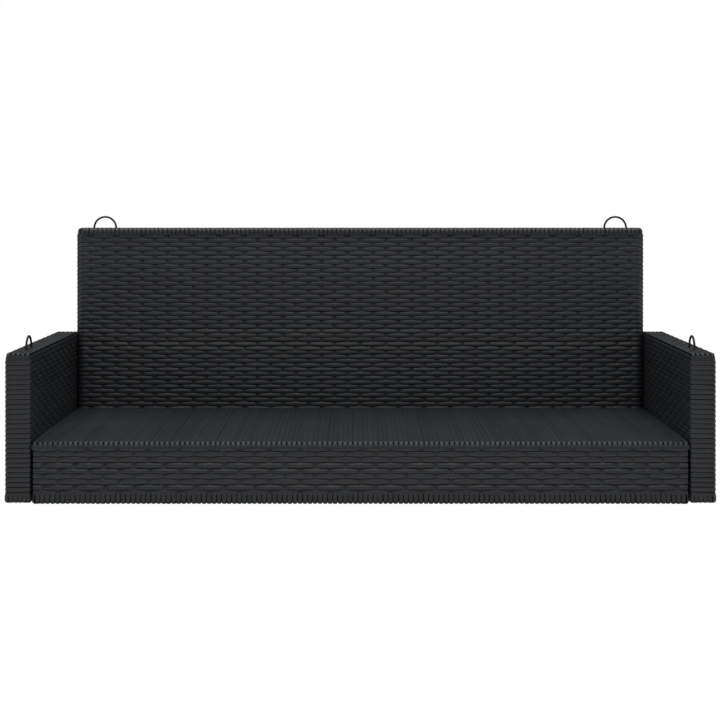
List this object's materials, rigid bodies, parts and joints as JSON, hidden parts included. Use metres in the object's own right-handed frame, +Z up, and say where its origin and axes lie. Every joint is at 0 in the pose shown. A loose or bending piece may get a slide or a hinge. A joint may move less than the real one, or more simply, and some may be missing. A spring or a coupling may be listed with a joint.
{
  "type": "porch swing",
  "caption": "Hanging garden bench for a porch, with a tall woven back, a low woven seat with a front apron, block arms and a bent-rod hanging loop near each corner.",
  "frame": {"origin": "on the surface that the bench stands on, at the centre of its width and depth", "axes": "+Z up, -Y out of the front of the seat, +X to the right as seen from the front"},
  "size_m": [1.56, 0.6, 0.625],
  "materials": {
    "woven_panel": "charcoal black flat strip in plain weave, satin, fine lengthwise grain",
    "woven_rim": "charcoal black flat strip wrapped side by side over the rim, satin",
    "frame_steel": "black powder coat, fine texture",
    "loop_steel": "black powder coat, semi-gloss",
    "plated_steel": "zinc plated"
  },
  "bodies": {
    "root": {"apron_bottom_rail": "frame_steel", "apron_posts": "frame_steel", "apron_rim_bottom": "woven_rim", "apron_weave": "woven_panel", "arm_left_bolt_rail": "frame_steel", "arm_left_bottom_rails": "frame_steel", "arm_left_cross_pieces": "frame_steel", "arm_left_front_posts": "frame_steel", "arm_left_loop": "loop_steel", "arm_left_loop_bridge": "frame_steel", "arm_left_rear_posts": "frame_steel", "arm_left_rim_bottom": "woven_rim", "arm_left_rim_top": "woven_rim", "arm_left_top_rails": "frame_steel", "arm_left_weave_front": "woven_panel", "arm_left_weave_inner": "woven_panel", "arm_left_weave_outer": "woven_panel", "arm_left_weave_rear": "woven_panel", "arm_right_bolt_rail": "frame_steel", "arm_right_bottom_rails": "frame_steel", "arm_right_cross_pieces": "frame_steel", "arm_right_front_posts": "frame_steel", "arm_right_loop": "loop_steel", "arm_right_loop_bridge": "frame_steel", "arm_right_rear_posts": "frame_steel", "arm_right_rim_bottom": "woven_rim", "arm_right_rim_top": "woven_rim", "arm_right_top_rails": "frame_steel", "arm_right_weave_front": "woven_panel", "arm_right_weave_inner": "woven_panel", "arm_right_weave_outer": "woven_panel", "arm_right_weave_rear": "woven_panel", "back_bolt_rail": "frame_steel", "back_bottom_rail": "frame_steel", "back_edge_left": "woven_panel", "back_edge_right": "woven_panel", "back_loop_left": "loop_steel", "back_loop_right": "loop_steel", "back_mullions": "frame_steel", "back_post_left": "frame_steel", "back_post_right": "frame_steel", "back_rim_bottom": "woven_rim", "back_rim_top": "woven_rim", "back_tabs": "frame_steel", "back_top_rail": "frame_steel", "back_weave_front": "woven_panel", "back_weave_rear": "woven_panel", "bolts": "plated_steel", "insert_nuts": "plated_steel", "seat_bars": "frame_steel", "seat_front_rail": "frame_steel", "seat_nosing": "woven_panel", "seat_rear_rail": "frame_steel", "seat_side_rail_left": "frame_steel", "seat_side_rail_right": "frame_steel", "seat_side_weave_left": "woven_panel", "seat_side_weave_right": "woven_panel", "seat_tabs": "frame_steel", "seat_weave": "woven_panel", "washers": "plated_steel"}
  },
  "joints": []
}
